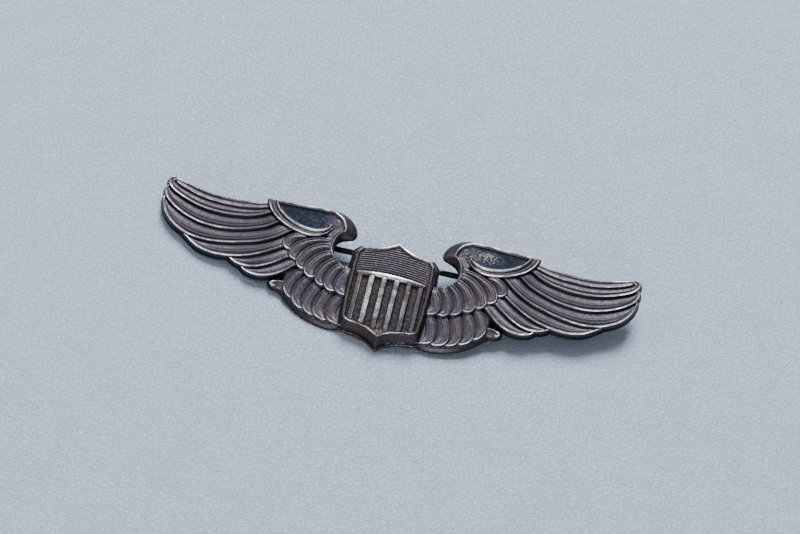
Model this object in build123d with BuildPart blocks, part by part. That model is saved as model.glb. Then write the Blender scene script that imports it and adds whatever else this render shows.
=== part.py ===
"""Pilot wings pin: a struck silver wing badge with an applied shield, a hinged pin and a locking catch.

Millimetres. X runs along the wingspan, Y up the shield, Z out of the face. The origin is on the
badge's back, behind the middle of the shield. The badge is bowed, so its wing tips drop back.
"""

import os
from math import cos, radians, sin, sqrt

from build123d import *

# Badge
BOW_RADIUS = 500.0  # of the back, about an axis parallel to Y
BAND_REACH = 45.0  # half width of the bowed bands that trim each layer
LAYER_REACH = 8.0  # each layer's outline is extruded this far each way before it is trimmed
PAD_HEIGHT = 0.6  # seat behind the shield
PAD_MARGIN = 0.1  # how far the seat stands out past the shield's foot
GROUND_HEIGHT = 0.75  # plate under the coverts
NECK_HEIGHT = 0.95
TERTIAL_HEIGHT = 0.8  # the lowest long feather
FEATHER_STEP = 0.06  # each long feather lies this much higher than the one below it
LOWER_COVERT_HEIGHT = 0.9
UPPER_COVERT_HEIGHT = 1.1
COVERT_STEP = 0.05
CAP_BAND_HEIGHT = 1.35
CAP_RIM_HEIGHT = 1.6
CAP_FIELD_HEIGHT = 1.2

# Shield
SHIELD_TOP = 2.4
SHIELD_DRAFT = 0.85  # how far the side walls slope in from foot to face
TIP_DRAFT = 1.4  # the same at the lower tip
RIM_WIDTH = 0.5
CHIEF_DEPTH = 0.25
CHIEF_BOTTOM = 3.0
CHIEF_LINE_COUNT = 10
CHIEF_LINE_PITCH = 0.4
CHIEF_LINE_WIDTH = 0.16
CHIEF_LINE_DEPTH = 0.1
CHIEF_LINE_MARGIN = 0.7  # from the shield's edge to the ends of the lines
CHIEF_LINE_FIRST = 3.5  # height of the lowest line
STRIPE_PITCH = 2.05
STRIPE_WIDTH = 1.0
STRIPE_DEPTH = 0.45
STRIPE_COUNT = 5
STRIPE_TOP, STRIPE_BOTTOM = 2.15, -6.1
SIDE_GROOVE_X, SIDE_GROOVE_WIDTH = 5.7, 0.35  # beside the rim

# Findings on the back
HINGE_X, CATCH_X = -18.0, 18.0
PIN_Y, PIN_Z = 7.2, -2.0  # the pin's axis when closed
SEAT_Z = -0.5  # underside of the solder, where both findings sit
SOLDER_MARGIN = 0.2
BASE_THICKNESS = 0.35
BASE_CORNER = 0.4
HINGE_BASE_X, HINGE_BASE_Y = 4.4, 4.0
EAR_THICKNESS = 0.5
EAR_GAP = 1.5
EAR_RADIUS = 1.2
RIVET_RADIUS = 0.45
RIVET_HEAD_RADIUS = 0.75
RIVET_HEAD_THICKNESS = 0.3
RIVET_HEAD_CHAMFER = 0.15
BORE_CLEARANCE = 0.05
KNUCKLE_RADIUS = 1.05
KNUCKLE_WIDTH = 1.4
SOCKET_RADIUS = 0.7
SOCKET_END_X = -15.9
NEEDLE_RADIUS = 0.5
TAPER_START_X = 14.6
NEEDLE_TIP_X = 20.4
NEEDLE_TIP_RADIUS = 0.08

CATCH_LENGTH = 2.7
CATCH_BASE_Y = 4.0
HOUSING_RADIUS = 1.45
HOUSING_BORE = 1.05
ROTOR_BORE = 0.55
COLLAR_RADIUS = 1.2
COLLAR_THICKNESS = 0.25
SLOT_WIDTH = 0.9
MOUTH_FROM, MOUTH_TO = -60.0, 31.0  # degrees from straight back, towards +Y
MOUTH_REACH = 2.0
TAB_ANGLE = -40.0
TAB_THICKNESS = 0.4
TAB_LENGTH = 2.0
TAB_REACH = 2.3

# Outlines of the right-hand wing. Each is a chain of runs: two points make a line, more a smooth curve.
NECK = [
    [(6.0, 3.25), (7.9, 3.45), (9.6, 4.4), (10.3, 6.1), (9.5, 7.65), (8.5, 8.1)],
    [(8.5, 8.1), (7.3, 8.9), (7.6, 10.6), (9.2, 12.2), (12.0, 12.85), (18.0, 12.45), (22.6, 12.3)],
    [(22.6, 12.3), (22.5, 11.2), (21.0, 9.25), (18.5, 7.85)],
    [(18.5, 7.85), (18.0, 5.5)],
    [(18.0, 5.5), (14.0, 0.5)],
    [(14.0, 0.5), (6.0, -1.6)],
    [(6.0, -1.6), (6.0, 3.25)],
]
GROUND = [
    [
        (6.0, -7.35), (7.5, -7.8), (9.0, -7.8), (11.0, -7.5),
        (13.0, -6.8), (14.5, -6.0), (16.0, -4.8), (17.2, -3.6),
    ],
    [(17.2, -3.6), (17.6, 0.4)],
    [(17.6, 0.4), (12.0, 3.0)],
    [(12.0, 3.0), (6.0, 2.0)],
    [(6.0, 2.0), (6.0, -7.35)],
]
FEATHER_ROOTS = [
    [(12.0, 8.0), (22.0, 11.5)],
    [(22.0, 11.5), (24.0, 8.0)],
    [(24.0, 8.0), (23.0, 1.0)],
    [(23.0, 1.0), (18.5, -0.8)],
    [(18.5, -0.8), (13.0, -2.0)],
    [(13.0, -2.0), (12.0, 8.0)],
]
CAP_BAND = [
    [(9.2, 9.1), (9.9, 11.1), (12.2, 12.3), (15.0, 12.4), (18.0, 12.3), (22.4, 12.2)],
    [(22.4, 12.2), (22.2, 11.0), (20.6, 9.0), (18.5, 7.95), (15.5, 7.2), (12.8, 7.7), (11.4, 8.8)],
    [(11.4, 8.8), (9.2, 9.1)],
]
CAP_RIM = [
    [(9.3, 9.3), (9.5, 10.3), (10.9, 11.75), (12.6, 12.15), (15.0, 12.2), (18.0, 12.1), (21.2, 12.0)],
    [(21.2, 12.0), (20.3, 10.45), (19.2, 9.55), (17.5, 8.75), (15.0, 8.3), (12.8, 8.7), (11.9, 9.2)],
    [(11.9, 9.2), (9.3, 9.3)],
]
CAP_FIELD = [
    [(9.9, 9.8), (10.2, 10.5), (11.2, 11.35), (12.8, 11.8), (15.0, 11.85), (18.0, 11.75), (20.6, 11.65)],
    [(20.6, 11.65), (19.9, 10.7), (18.9, 9.95), (17.3, 9.2), (15.0, 8.75), (13.2, 9.1), (12.2, 9.7)],
    [(12.2, 9.7), (9.9, 9.8)],
]

# The long feathers from the lowest, a short tertial, up to the leading one.
LONG_FEATHERS = [
    [
        [(15.5, -0.4), (17.5, -1.1), (19.2, -1.7), (19.55, -2.3), (19.1, -3.0), (18.0, -3.25), (16.0, -3.1)],
        [(16.0, -3.1), (15.5, -0.4)],
    ],
    [
        [(23.9, -1.1), (22.0, -1.7), (20.5, -1.55), (19.0, -1.1), (17.6, -0.2), (16.5, 0.75)],
        [(16.5, 0.75), (18.0, 2.6)],
        [(18.0, 2.6), (21.0, 0.9), (24.4, 0.2)],
        [(24.4, 0.2), (23.9, -1.1)],
    ],
    [
        [(26.2, 0.15), (24.8, -0.4), (22.0, -0.25), (20.0, 0.65), (17.8, 2.15)],
        [(17.8, 2.15), (19.5, 4.2)],
        [(19.5, 4.2), (23.0, 2.5), (26.8, 1.6)],
        [(26.8, 1.6), (26.2, 0.15)],
    ],
    [
        [(34.2, 2.4), (32.0, 1.0), (29.0, 0.5), (26.0, 0.8), (22.5, 1.9), (19.0, 3.9)],
        [(19.0, 3.9), (20.0, 5.6)],
        [(20.0, 5.6), (28.0, 4.0), (34.8, 3.7)],
        [(34.8, 3.7), (34.2, 2.4)],
    ],
    [
        [(39.7, 7.6), (38.3, 5.4), (35.0, 3.4), (31.0, 2.8), (27.0, 3.1), (23.0, 4.05), (19.3, 6.05)],
        [(19.3, 6.05), (21.0, 7.9)],
        [(21.0, 7.9), (28.0, 6.6), (34.0, 7.3), (39.5, 9.6)],
        [(39.5, 9.6), (39.95, 8.7), (39.7, 7.6)],
    ],
    [
        [(39.85, 10.1), (38.0, 8.0), (35.0, 6.35), (31.0, 5.45), (27.0, 5.55), (24.0, 6.25), (20.6, 8.1)],
        [(20.6, 8.1), (22.0, 9.8)],
        [(22.0, 9.8), (30.0, 9.2), (36.0, 10.6), (39.3, 11.8)],
        [(39.3, 11.8), (39.95, 11.1), (39.85, 10.1)],
    ],
    [
        [(39.5, 11.7), (37.0, 10.0), (34.0, 8.75), (30.0, 8.0), (26.0, 8.2), (23.1, 9.1), (21.0, 10.2)],
        [(21.0, 10.2), (21.0, 11.8)],
        [(21.0, 11.8), (24.0, 11.3), (28.0, 11.1), (32.0, 11.25), (36.0, 12.1), (39.0, 12.75)],
        [(39.0, 12.75), (39.75, 12.45), (39.5, 11.7)],
    ],
]

# The covert rows, from the outermost feather inwards: where its sides meet, then its rounded end.
LOWER_COVERTS = [
    [(11.5, 1.5), (16.5, 0.0), (16.85, -1.6), (16.5, -3.2), (15.6, -4.1)],
    [(10.8, 1.3), (15.0, -2.6), (15.1, -3.9), (14.6, -4.9), (13.9, -5.5)],
    [(9.8, 1.0), (13.2, -4.0), (13.0, -5.0), (12.5, -5.8), (11.7, -6.4)],
    [(8.6, 0.6), (11.3, -4.8), (11.0, -5.9), (10.3, -6.6), (9.6, -6.85)],
    [(6.4, 0.2), (9.1, -4.5), (8.95, -5.9), (8.4, -6.7), (7.0, -7.0)],
]
UPPER_COVERTS = [
    [(12.0, 7.0), (18.3, 6.3), (18.7, 5.3), (18.5, 4.4), (17.9, 4.0)],
    [(11.5, 6.5), (16.4, 5.8), (17.2, 4.6), (17.3, 3.3), (16.5, 2.4)],
    [(11.2, 6.0), (14.8, 4.9), (15.7, 3.4), (15.85, 2.0), (15.1, 1.1)],
    [(10.9, 5.5), (13.1, 4.2), (14.0, 2.6), (14.2, 1.1), (13.5, 0.05)],
    [(10.2, 5.0), (11.8, 2.3), (12.25, 1.0), (12.1, -0.3), (11.3, -0.95)],
    [(9.4, 4.2), (10.4, 1.0), (10.55, -0.4), (10.2, -1.2), (9.4, -1.6)],
    [(7.4, 3.2), (8.8, 0.5), (8.9, -0.7), (8.4, -1.5), (7.2, -1.8)],
]

# The right-hand half of the shield's face, clockwise from the top.
SHIELD_APEX = (0.0, 8.75)
SHIELD_NECK = (2.7, 7.4)
SHIELD_SHOULDER = (5.6, 6.9)
SHIELD_CORNER = (6.4, 5.9)
SHIELD_WAIST = (6.5, 0.0)
SHIELD_HEEL = (6.3, -4.9)
SHIELD_BEND = (6.0, -6.1)
SHIELD_TOE = (5.1, -6.65)
SHIELD_FLANK = (2.4, -7.05)
SHIELD_TIP = (0.0, -8.36)


def bow_height(x, height):
    """Z of the surface that lies `height` above the badge's back, at a distance x from the middle."""
    return sqrt((BOW_RADIUS + height) ** 2 - x**2) - BOW_RADIUS


def bowed_band(low, high):
    """The band between two heights above the badge's back, as a sketch in the XZ plane."""
    left_high = (-BAND_REACH, bow_height(BAND_REACH, high))
    right_high = (BAND_REACH, bow_height(BAND_REACH, high))
    left_low = (-BAND_REACH, bow_height(BAND_REACH, low))
    right_low = (BAND_REACH, bow_height(BAND_REACH, low))
    with BuildSketch(Plane.XZ) as band:
        with BuildLine():
            ThreePointArc(left_high, (0, high), right_high)
            Line(right_high, right_low)
            ThreePointArc(right_low, (0, low), left_low)
            Line(left_low, left_high)
        make_face()
    return band.sketch


def bowed_layer(runs, low, high):
    """A piece of the badge with the given outline, between two heights above the bowed back."""
    band = bowed_band(low, high)
    with BuildPart() as layer:
        with BuildSketch(Plane.XY.offset(-LAYER_REACH)):
            with BuildLine():
                for run in runs:
                    if len(run) == 2:
                        Line(*run)
                    else:
                        Spline(*run)
            make_face()
        extrude(amount=2 * LAYER_REACH)
        extrude(band, amount=BAND_REACH, both=True, mode=Mode.INTERSECT)
    return layer.part


def covert(points):
    """The outline of one covert feather: straight sides from its root, and a rounded end."""
    root = points[0]
    end = points[1:]
    return [[root, end[0]], end, [end[-1], root]]


def shield_face(height, grow=0.0, grow_tip=0.0):
    """The shield's outline at the given height, grown by one width all round and by another at its tip."""
    corners = [SHIELD_APEX, SHIELD_NECK, SHIELD_SHOULDER, SHIELD_CORNER, SHIELD_WAIST]
    corners += [SHIELD_HEEL, SHIELD_BEND, SHIELD_TOE, SHIELD_FLANK, SHIELD_TIP]
    wide = 1 + grow / SHIELD_CORNER[0]
    tall = 1 + grow / SHIELD_APEX[1]
    low = 1 - grow_tip / SHIELD_TIP[1]
    apex, neck, shoulder, corner, waist, heel, bend, toe, flank, tip = [
        (x * wide, y * (tall if y > 0 else low)) for x, y in corners
    ]
    with BuildSketch(Plane.XY.offset(height)) as face:
        with BuildLine():
            ThreePointArc(apex, neck, shoulder)
            Line(shoulder, corner)
            ThreePointArc(corner, waist, heel)
            ThreePointArc(heel, bend, toe)
            ThreePointArc(toe, flank, tip)
            Line(tip, apex)
        make_face()
        mirror(about=Plane.YZ)
    return face.sketch


def polar(angle, radius):
    """A point round the catch's axis; the angle runs from straight back towards +Y."""
    return (radius * sin(radians(angle)), -radius * cos(radians(angle)))


os.makedirs("parts", exist_ok=True)

# The shield's blank: a drafted block, which also cuts its seat out of the wings.
shield_foot = shield_face(0, SHIELD_DRAFT, TIP_DRAFT)
shield_top = shield_face(SHIELD_TOP)
shield_band = bowed_band(PAD_HEIGHT, SHIELD_TOP)
with BuildPart() as shield_blank:
    loft([shield_foot.face(), shield_top.face()], ruled=True)
    extrude(shield_band, amount=BAND_REACH, both=True, mode=Mode.INTERSECT)

chief_floor = SHIELD_TOP - CHIEF_DEPTH
chief_field = shield_face(chief_floor, -RIM_WIDTH, -RIM_WIDTH)
line_field = shield_face(chief_floor - CHIEF_LINE_DEPTH, -CHIEF_LINE_MARGIN, -CHIEF_LINE_MARGIN)
with BuildPart() as shield:
    add(shield_blank.part)
    with BuildSketch(Plane.XY.offset(chief_floor)):
        add(chief_field)
        with Locations((0, CHIEF_BOTTOM)):
            Rectangle(BAND_REACH, BAND_REACH, align=(Align.CENTER, Align.MAX), mode=Mode.SUBTRACT)
    extrude(amount=SHIELD_TOP, mode=Mode.SUBTRACT)
    with BuildSketch(Plane.XY.offset(SHIELD_TOP - STRIPE_DEPTH)):
        with Locations((0, (STRIPE_TOP + STRIPE_BOTTOM) / 2)):
            with GridLocations(STRIPE_PITCH, 0, STRIPE_COUNT, 1):
                Rectangle(STRIPE_WIDTH, STRIPE_TOP - STRIPE_BOTTOM)
            with GridLocations(2 * SIDE_GROOVE_X, 0, 2, 1):
                Rectangle(SIDE_GROOVE_WIDTH, STRIPE_TOP - STRIPE_BOTTOM)
    extrude(amount=SHIELD_TOP, mode=Mode.SUBTRACT)
    with BuildSketch(Plane.XY.offset(chief_floor - CHIEF_LINE_DEPTH)):
        for index in range(CHIEF_LINE_COUNT):
            with Locations((0, CHIEF_LINE_FIRST + index * CHIEF_LINE_PITCH)):
                Rectangle(BAND_REACH, CHIEF_LINE_WIDTH)
        add(line_field, mode=Mode.INTERSECT)
    extrude(amount=SHIELD_TOP, mode=Mode.SUBTRACT)
shield.part.label = "shield"
export_step(shield.part, "parts/shield.step")

layers = [
    bowed_layer(GROUND, 0, GROUND_HEIGHT),
    bowed_layer(FEATHER_ROOTS, 0, GROUND_HEIGHT),
    bowed_layer(NECK, 0, NECK_HEIGHT),
]
for index, runs in enumerate(LONG_FEATHERS):
    layers.append(bowed_layer(runs, 0, TERTIAL_HEIGHT + index * FEATHER_STEP))
for index, points in enumerate(LOWER_COVERTS):
    layers.append(bowed_layer(covert(points), 0, LOWER_COVERT_HEIGHT + index * COVERT_STEP))
for index, points in enumerate(UPPER_COVERTS):
    layers.append(bowed_layer(covert(points), 0, UPPER_COVERT_HEIGHT + index * COVERT_STEP))
layers.append(bowed_layer(CAP_BAND, 0, CAP_BAND_HEIGHT))
layers.append(bowed_layer(CAP_RIM, 0, CAP_RIM_HEIGHT))

pad_band = bowed_band(0, PAD_HEIGHT)
foot_share = 1 - PAD_HEIGHT / SHIELD_TOP  # of the draft, at the height of the seat
pad_face = shield_face(
    -LAYER_REACH, SHIELD_DRAFT * foot_share + PAD_MARGIN, TIP_DRAFT * foot_share + PAD_MARGIN
)
with BuildPart() as shield_pad:
    extrude(pad_face, amount=2 * LAYER_REACH)
    extrude(pad_band, amount=BAND_REACH, both=True, mode=Mode.INTERSECT)

with BuildPart() as wing_plate:
    add(layers)
    add(bowed_layer(CAP_FIELD, CAP_FIELD_HEIGHT, SHIELD_TOP), mode=Mode.SUBTRACT)
    mirror(about=Plane.YZ)
    add(shield_pad.part)
    add(shield_blank.part, mode=Mode.SUBTRACT)
wing_plate.part.label = "wing_plate"
export_step(wing_plate.part, "parts/wing_plate.step")


below_back = bowed_band(-LAYER_REACH, 0)
base_z = SEAT_Z - BASE_THICKNESS


def solder_pad(centre_x, length, width):
    """The solder between a finding's flat base and the bowed back."""
    with BuildPart() as pad:
        with BuildSketch(Plane.XY.offset(SEAT_Z)):
            with Locations((centre_x, PIN_Y)):
                RectangleRounded(length + 2 * SOLDER_MARGIN, width + 2 * SOLDER_MARGIN, SOLDER_MARGIN)
        extrude(amount=LAYER_REACH)
        extrude(below_back, amount=BAND_REACH, both=True, mode=Mode.INTERSECT)
    return pad.part


# Hinge: a folded bracket, its rivet and the knuckle that turns on it.
with BuildPart() as hinge_solder:
    add(solder_pad(HINGE_X, HINGE_BASE_X, HINGE_BASE_Y))
hinge_solder.part.label = "hinge_solder"
export_step(hinge_solder.part, "parts/hinge_solder.step")

ear_offset = (EAR_GAP + EAR_THICKNESS) / 2
with BuildPart() as hinge_bracket:
    with BuildSketch(Plane.XY.offset(base_z)):
        with Locations((HINGE_X, PIN_Y)):
            RectangleRounded(HINGE_BASE_X, HINGE_BASE_Y, BASE_CORNER)
    extrude(amount=BASE_THICKNESS)
    for side in (-1, 1):
        with BuildSketch(Plane.XZ.offset(-(PIN_Y + side * ear_offset))):
            with Locations((HINGE_X, PIN_Z)):
                Circle(EAR_RADIUS)
            with Locations((HINGE_X, PIN_Z)):
                Rectangle(2 * EAR_RADIUS, base_z - PIN_Z, align=(Align.CENTER, Align.MIN))
        extrude(amount=EAR_THICKNESS / 2, both=True)
    with BuildSketch(Plane.XZ.offset(-PIN_Y)):
        with Locations((HINGE_X, PIN_Z)):
            Circle(RIVET_RADIUS)
    extrude(amount=HINGE_BASE_Y, both=True, mode=Mode.SUBTRACT)
hinge_bracket.part.label = "hinge_bracket"
export_step(hinge_bracket.part, "parts/hinge_bracket.step")

ears_half_width = EAR_GAP / 2 + EAR_THICKNESS
with BuildPart() as hinge_rivet:
    with BuildSketch(Plane.XZ.offset(-PIN_Y)):
        with Locations((HINGE_X, PIN_Z)):
            Circle(RIVET_RADIUS)
    extrude(amount=ears_half_width + RIVET_HEAD_THICKNESS, both=True)
    for side in (-1, 1):
        with BuildSketch(Plane.XZ.offset(-(PIN_Y + side * (ears_half_width + RIVET_HEAD_THICKNESS / 2)))):
            with Locations((HINGE_X, PIN_Z)):
                Circle(RIVET_HEAD_RADIUS)
        extrude(amount=RIVET_HEAD_THICKNESS / 2, both=True)
    chamfer(hinge_rivet.faces().sort_by(Axis.Y)[0].edges(), RIVET_HEAD_CHAMFER)
    chamfer(hinge_rivet.faces().sort_by(Axis.Y)[-1].edges(), RIVET_HEAD_CHAMFER)
hinge_rivet.part.label = "hinge_rivet"
export_step(hinge_rivet.part, "parts/hinge_rivet.step")

pin_axis = Plane(origin=(0, PIN_Y, PIN_Z), x_dir=(0, 1, 0), z_dir=(1, 0, 0))
with BuildPart() as pin_head:
    with BuildSketch(pin_axis.offset(HINGE_X)):
        Circle(SOCKET_RADIUS)
    extrude(amount=SOCKET_END_X - HINGE_X)
    with BuildSketch(Plane.XZ.offset(-PIN_Y)):
        with Locations((HINGE_X, PIN_Z)):
            Circle(KNUCKLE_RADIUS)
    extrude(amount=KNUCKLE_WIDTH / 2, both=True)
    with BuildSketch(Plane.XZ.offset(-PIN_Y)):
        with Locations((HINGE_X, PIN_Z)):
            Circle(RIVET_RADIUS + BORE_CLEARANCE)
    extrude(amount=KNUCKLE_WIDTH, both=True, mode=Mode.SUBTRACT)
pin_head.part.label = "pin_head"
export_step(pin_head.part, "parts/pin_head.step")

with BuildPart() as pin_needle:
    with BuildSketch(pin_axis.offset(SOCKET_END_X)):
        Circle(NEEDLE_RADIUS)
    extrude(amount=TAPER_START_X - SOCKET_END_X)
    with BuildSketch(pin_axis.offset(TAPER_START_X)):
        Circle(NEEDLE_RADIUS)
    with BuildSketch(pin_axis.offset(NEEDLE_TIP_X)):
        Circle(NEEDLE_TIP_RADIUS)
    loft()
pin_needle.part.label = "pin_needle"
export_step(pin_needle.part, "parts/pin_needle.step")

# Catch: a C-shaped housing, and a slotted barrel that a thumb tab turns inside it.
with BuildPart() as catch_solder:
    add(solder_pad(CATCH_X, CATCH_LENGTH, CATCH_BASE_Y))
catch_solder.part.label = "catch_solder"
export_step(catch_solder.part, "parts/catch_solder.step")

catch_plane = Plane(origin=(CATCH_X, PIN_Y, PIN_Z), x_dir=(0, 1, 0), z_dir=(1, 0, 0))
with BuildPart() as catch_housing:
    with BuildSketch(Plane.XY.offset(base_z)):
        with Locations((CATCH_X, PIN_Y)):
            RectangleRounded(CATCH_LENGTH, CATCH_BASE_Y, BASE_CORNER)
    extrude(amount=BASE_THICKNESS)
    with BuildSketch(catch_plane):
        Circle(HOUSING_RADIUS)
    extrude(amount=CATCH_LENGTH / 2, both=True)
    with BuildSketch(catch_plane):
        Circle(HOUSING_BORE)
    extrude(amount=CATCH_LENGTH, both=True, mode=Mode.SUBTRACT)
    with BuildSketch(catch_plane):
        with BuildLine():
            Line((0, 0), polar(MOUTH_FROM, MOUTH_REACH))
            ThreePointArc(
                polar(MOUTH_FROM, MOUTH_REACH),
                polar((MOUTH_FROM + MOUTH_TO) / 2, MOUTH_REACH),
                polar(MOUTH_TO, MOUTH_REACH),
            )
            Line(polar(MOUTH_TO, MOUTH_REACH), (0, 0))
        make_face()
    extrude(amount=CATCH_LENGTH, both=True, mode=Mode.SUBTRACT)
catch_housing.part.label = "catch_housing"
export_step(catch_housing.part, "parts/catch_housing.step")

tab_tilt = (0, cos(radians(TAB_ANGLE)), sin(radians(TAB_ANGLE)))
tab_plane = Plane(origin=(CATCH_X, PIN_Y, PIN_Z), x_dir=tab_tilt, z_dir=(1, 0, 0))
rotor_radius = HOUSING_BORE - BORE_CLEARANCE
collar_offset = CATCH_LENGTH / 2 + BORE_CLEARANCE
with BuildPart() as catch_rotor:
    with BuildSketch(catch_plane):
        Circle(rotor_radius)
    extrude(amount=collar_offset + COLLAR_THICKNESS, both=True)
    for end in (-collar_offset - COLLAR_THICKNESS, collar_offset):
        with BuildSketch(catch_plane.offset(end)):
            Circle(COLLAR_RADIUS)
        extrude(amount=COLLAR_THICKNESS)
    tab_height = TAB_REACH - rotor_radius + TAB_THICKNESS
    with BuildSketch(tab_plane):
        with Locations((0, -rotor_radius + TAB_THICKNESS)):
            Rectangle(TAB_THICKNESS, tab_height, align=(Align.CENTER, Align.MAX))
    extrude(amount=TAB_LENGTH / 2, both=True)
    with BuildSketch(catch_plane):
        Circle(ROTOR_BORE)
        Rectangle(SLOT_WIDTH, 2 * TAB_REACH, align=(Align.CENTER, Align.MAX))
    extrude(amount=CATCH_LENGTH, both=True, mode=Mode.SUBTRACT)
catch_rotor.part.label = "catch_rotor"
export_step(catch_rotor.part, "parts/catch_rotor.step")
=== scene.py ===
"""Looks of the pilot wings pin: struck feather relief, oxidised silver and steel findings dulled and
scratched by use.

The wings and the shield are height fields worked out in millimetres and built as closed meshes.
"""

import math

import bpy
import numpy as np
from mathutils import Matrix, Vector
from mathutils.geometry import delaunay_2d_cdt


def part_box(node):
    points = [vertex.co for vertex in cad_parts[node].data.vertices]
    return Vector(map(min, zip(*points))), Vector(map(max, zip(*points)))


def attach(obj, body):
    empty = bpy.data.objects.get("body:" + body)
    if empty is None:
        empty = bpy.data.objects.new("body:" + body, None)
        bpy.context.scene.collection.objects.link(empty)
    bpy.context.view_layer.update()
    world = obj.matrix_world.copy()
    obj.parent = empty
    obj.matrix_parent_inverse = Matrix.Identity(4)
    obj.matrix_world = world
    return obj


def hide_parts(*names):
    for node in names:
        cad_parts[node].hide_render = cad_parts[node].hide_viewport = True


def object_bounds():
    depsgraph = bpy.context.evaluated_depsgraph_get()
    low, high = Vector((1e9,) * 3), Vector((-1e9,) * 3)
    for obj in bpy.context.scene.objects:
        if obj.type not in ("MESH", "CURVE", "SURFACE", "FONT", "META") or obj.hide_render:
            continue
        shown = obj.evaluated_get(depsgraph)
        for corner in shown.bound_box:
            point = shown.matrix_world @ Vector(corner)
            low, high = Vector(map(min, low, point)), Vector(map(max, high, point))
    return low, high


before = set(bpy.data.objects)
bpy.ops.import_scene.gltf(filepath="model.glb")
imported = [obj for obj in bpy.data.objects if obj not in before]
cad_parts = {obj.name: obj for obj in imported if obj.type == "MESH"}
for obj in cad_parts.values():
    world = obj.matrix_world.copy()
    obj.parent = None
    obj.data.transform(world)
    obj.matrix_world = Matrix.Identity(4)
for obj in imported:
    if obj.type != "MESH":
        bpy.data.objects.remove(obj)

cad_low, cad_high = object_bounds()
MM = 0.001

# Camera, in millimetres and degrees, round a point on the badge's face
CAMERA_AZIMUTH = 6.93
CAMERA_ELEVATION = 66.0
CAMERA_ROLL = -6.504
CAMERA_DISTANCE = 389.466
CAMERA_TARGET = (0.845, 5.259, 1.0)
CAMERA_LENS = 108.0

# Badge, in millimetres
BOW_RADIUS = 500.0
WING_STEP = 0.075  # grid spacing of the wings' relief
WING_LEFT, WING_RIGHT = 5.7, 40.6  # the shield hides the relief nearer to the middle
WING_BOTTOM, WING_TOP = -8.6, 13.4
WALL_WIDTH = 0.38  # the die's draft round every outer edge
WALL_SLOPE = 3.1
HIDDEN = -9.0  # wall width of a piece that adds nothing to the outline
EDGE_HEIGHT = 0.12  # upright part of the edge, at the back
GROUND_RISE = 0.6  # of the plate between its edge and where it is level
BACK_SPACING = 0.6  # of the points on the plain back

# Heights of the wings' pieces above the back, and where the outer walls of the raised ones start
TERTIAL_HEIGHT, ROOTS_HEIGHT = 0.72, 0.62
LONG_RISE, LONG_WALL_TOP = 1.12, 1.10
LEADING_RISE, LEADING_WALL_TOP = 1.16, 1.14
VANE_HEIGHT, VANE_WALL_TOP = 1.08, 1.06
LOWER_RISE, UPPER_RISE = 0.98, 1.3
BAND_HEIGHT = 1.3  # the band round the cap
CAP_FLOOR, CAP_RIM = 1.08, 1.56
NECK_HEIGHT, NECK_RIM_HEIGHT = 1.16, 1.3

# Feathers: how far they fall towards their neighbour, and their beads, barbs and grooves
LONG_DIP, LEADING_DIP, COVERT_DIP = 0.30, 0.26, 0.22
LONG_BEAD, COVERT_BEAD = 0.07, 0.05
LONG_BARBS = (4, 6, 6, 5, 4, 4)  # lines across each long feather, from the leading one down
COVERT_BARBS = 4
LONG_BARB_DEPTH, COVERT_BARB_DEPTH = 0.011, 0.022
LONG_GROOVE, COVERT_GROOVE, GROOVE_WIDTH = 0.1, 0.15, 0.2

# Brightness of a bead: how bare it is at its start and its end, and where between them that changes;
# towards the tips partly painted highlight
LONG_BARENESS_AND_SHEEN = (0.72, 0.16, 0.35, 0.85)
LEADING_BARENESS_AND_SHEEN = (0.8, 0.2, 0.05, 0.55)

# Tarnish: blurs that a spot's height is compared with, and how deep a spot must lie to be quite dark
NEAR_BLUR, WIDE_BLUR, WIDER_BLUR = 0.1, 0.4, 0.9
HOLLOW_DEPTH = 0.27

# Shield
SHIELD_STEP = 0.06
SEAT_STEP = 0.2
SHIELD_TOP = 2.4
SEAT_HEIGHT = 0.6
SHIELD_HALF_WIDTH, SHIELD_HALF_HEIGHT = 6.4, 8.4
SHIELD_DRAFT, TIP_DRAFT = 0.85, 1.4
STRIPE_PITCH = 2.05
STRIPES_OUT_TO = 4.1
CHIEF_DEPTH, CHIEF_LINE_HEIGHT, CHIEF_LINE_PITCH = 0.27, 0.02, 0.385
GROOVE_DEPTH = 0.5
SIDE_RIM_WEAR = 0.12

# Silver, bared and tarnished; the bright colours also give painted highlights, and the hollow colour
# painted shade
WING_BROWN, WING_BLUE = (0.076, 0.061, 0.066), (0.059, 0.055, 0.067)
WING_BRIGHT = (0.69, 0.66, 0.66)
SHIELD_BROWN, SHIELD_BLUE = (0.075, 0.058, 0.052), (0.060, 0.050, 0.052)
SHIELD_BRIGHT = (0.75, 0.71, 0.70)
BROWN_TARNISH, BLUE_TARNISH = (0.068, 0.050, 0.036), (0.030, 0.038, 0.062)
PALE_SPECKS, DARK_SPECKS = (0.16, 0.155, 0.165), (0.010, 0.0095, 0.011)
BLUED_SILVER = (0.011, 0.015, 0.024)
HOLLOW_AND_SHADE_SILVER = (0.0192, 0.0163, 0.0190)
DRIED_DIRT = (0.25, 0.225, 0.18)

# Leather, and the floor that it covers
LEATHER_DARK, LEATHER_LIGHT = (0.290, 0.338, 0.425), (0.312, 0.359, 0.445)
# Painted shade in the leather's creases
PAINTED_CREASE_SHADE = (0.216, 0.254, 0.330)
FLOOR_SIZE = 3.0  # metres
FLOOR_GAP = 0.05  # between the badge's feet and the floor, in millimetres

# Softened edges of the findings, in millimetres and degrees
BEVEL_WIDTH, BEVEL_ANGLE = 0.06, 40

# Light: each lamp's name, place and size in metres, power in watts and colour
LAMPS = (
    ("window", (-0.04, 1.60, 1.12), 0.95, 101.0, (0.84, 0.90, 1.0)),
    ("left_panel", (-0.85, 0.20, 0.55), 0.5, 2.5, (0.97, 0.98, 1.0)),
    ("front_panel", (0.05, -0.85, 0.40), 0.6, 6.5, (0.97, 0.98, 1.0)),
)
SKY_COLOUR, SKY_STRENGTH = (0.96, 0.97, 1.0, 1), 0.30

# ---------------------------------------------------------------------------------------------
# Curves of the right-hand wing, in millimetres
# ---------------------------------------------------------------------------------------------

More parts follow.
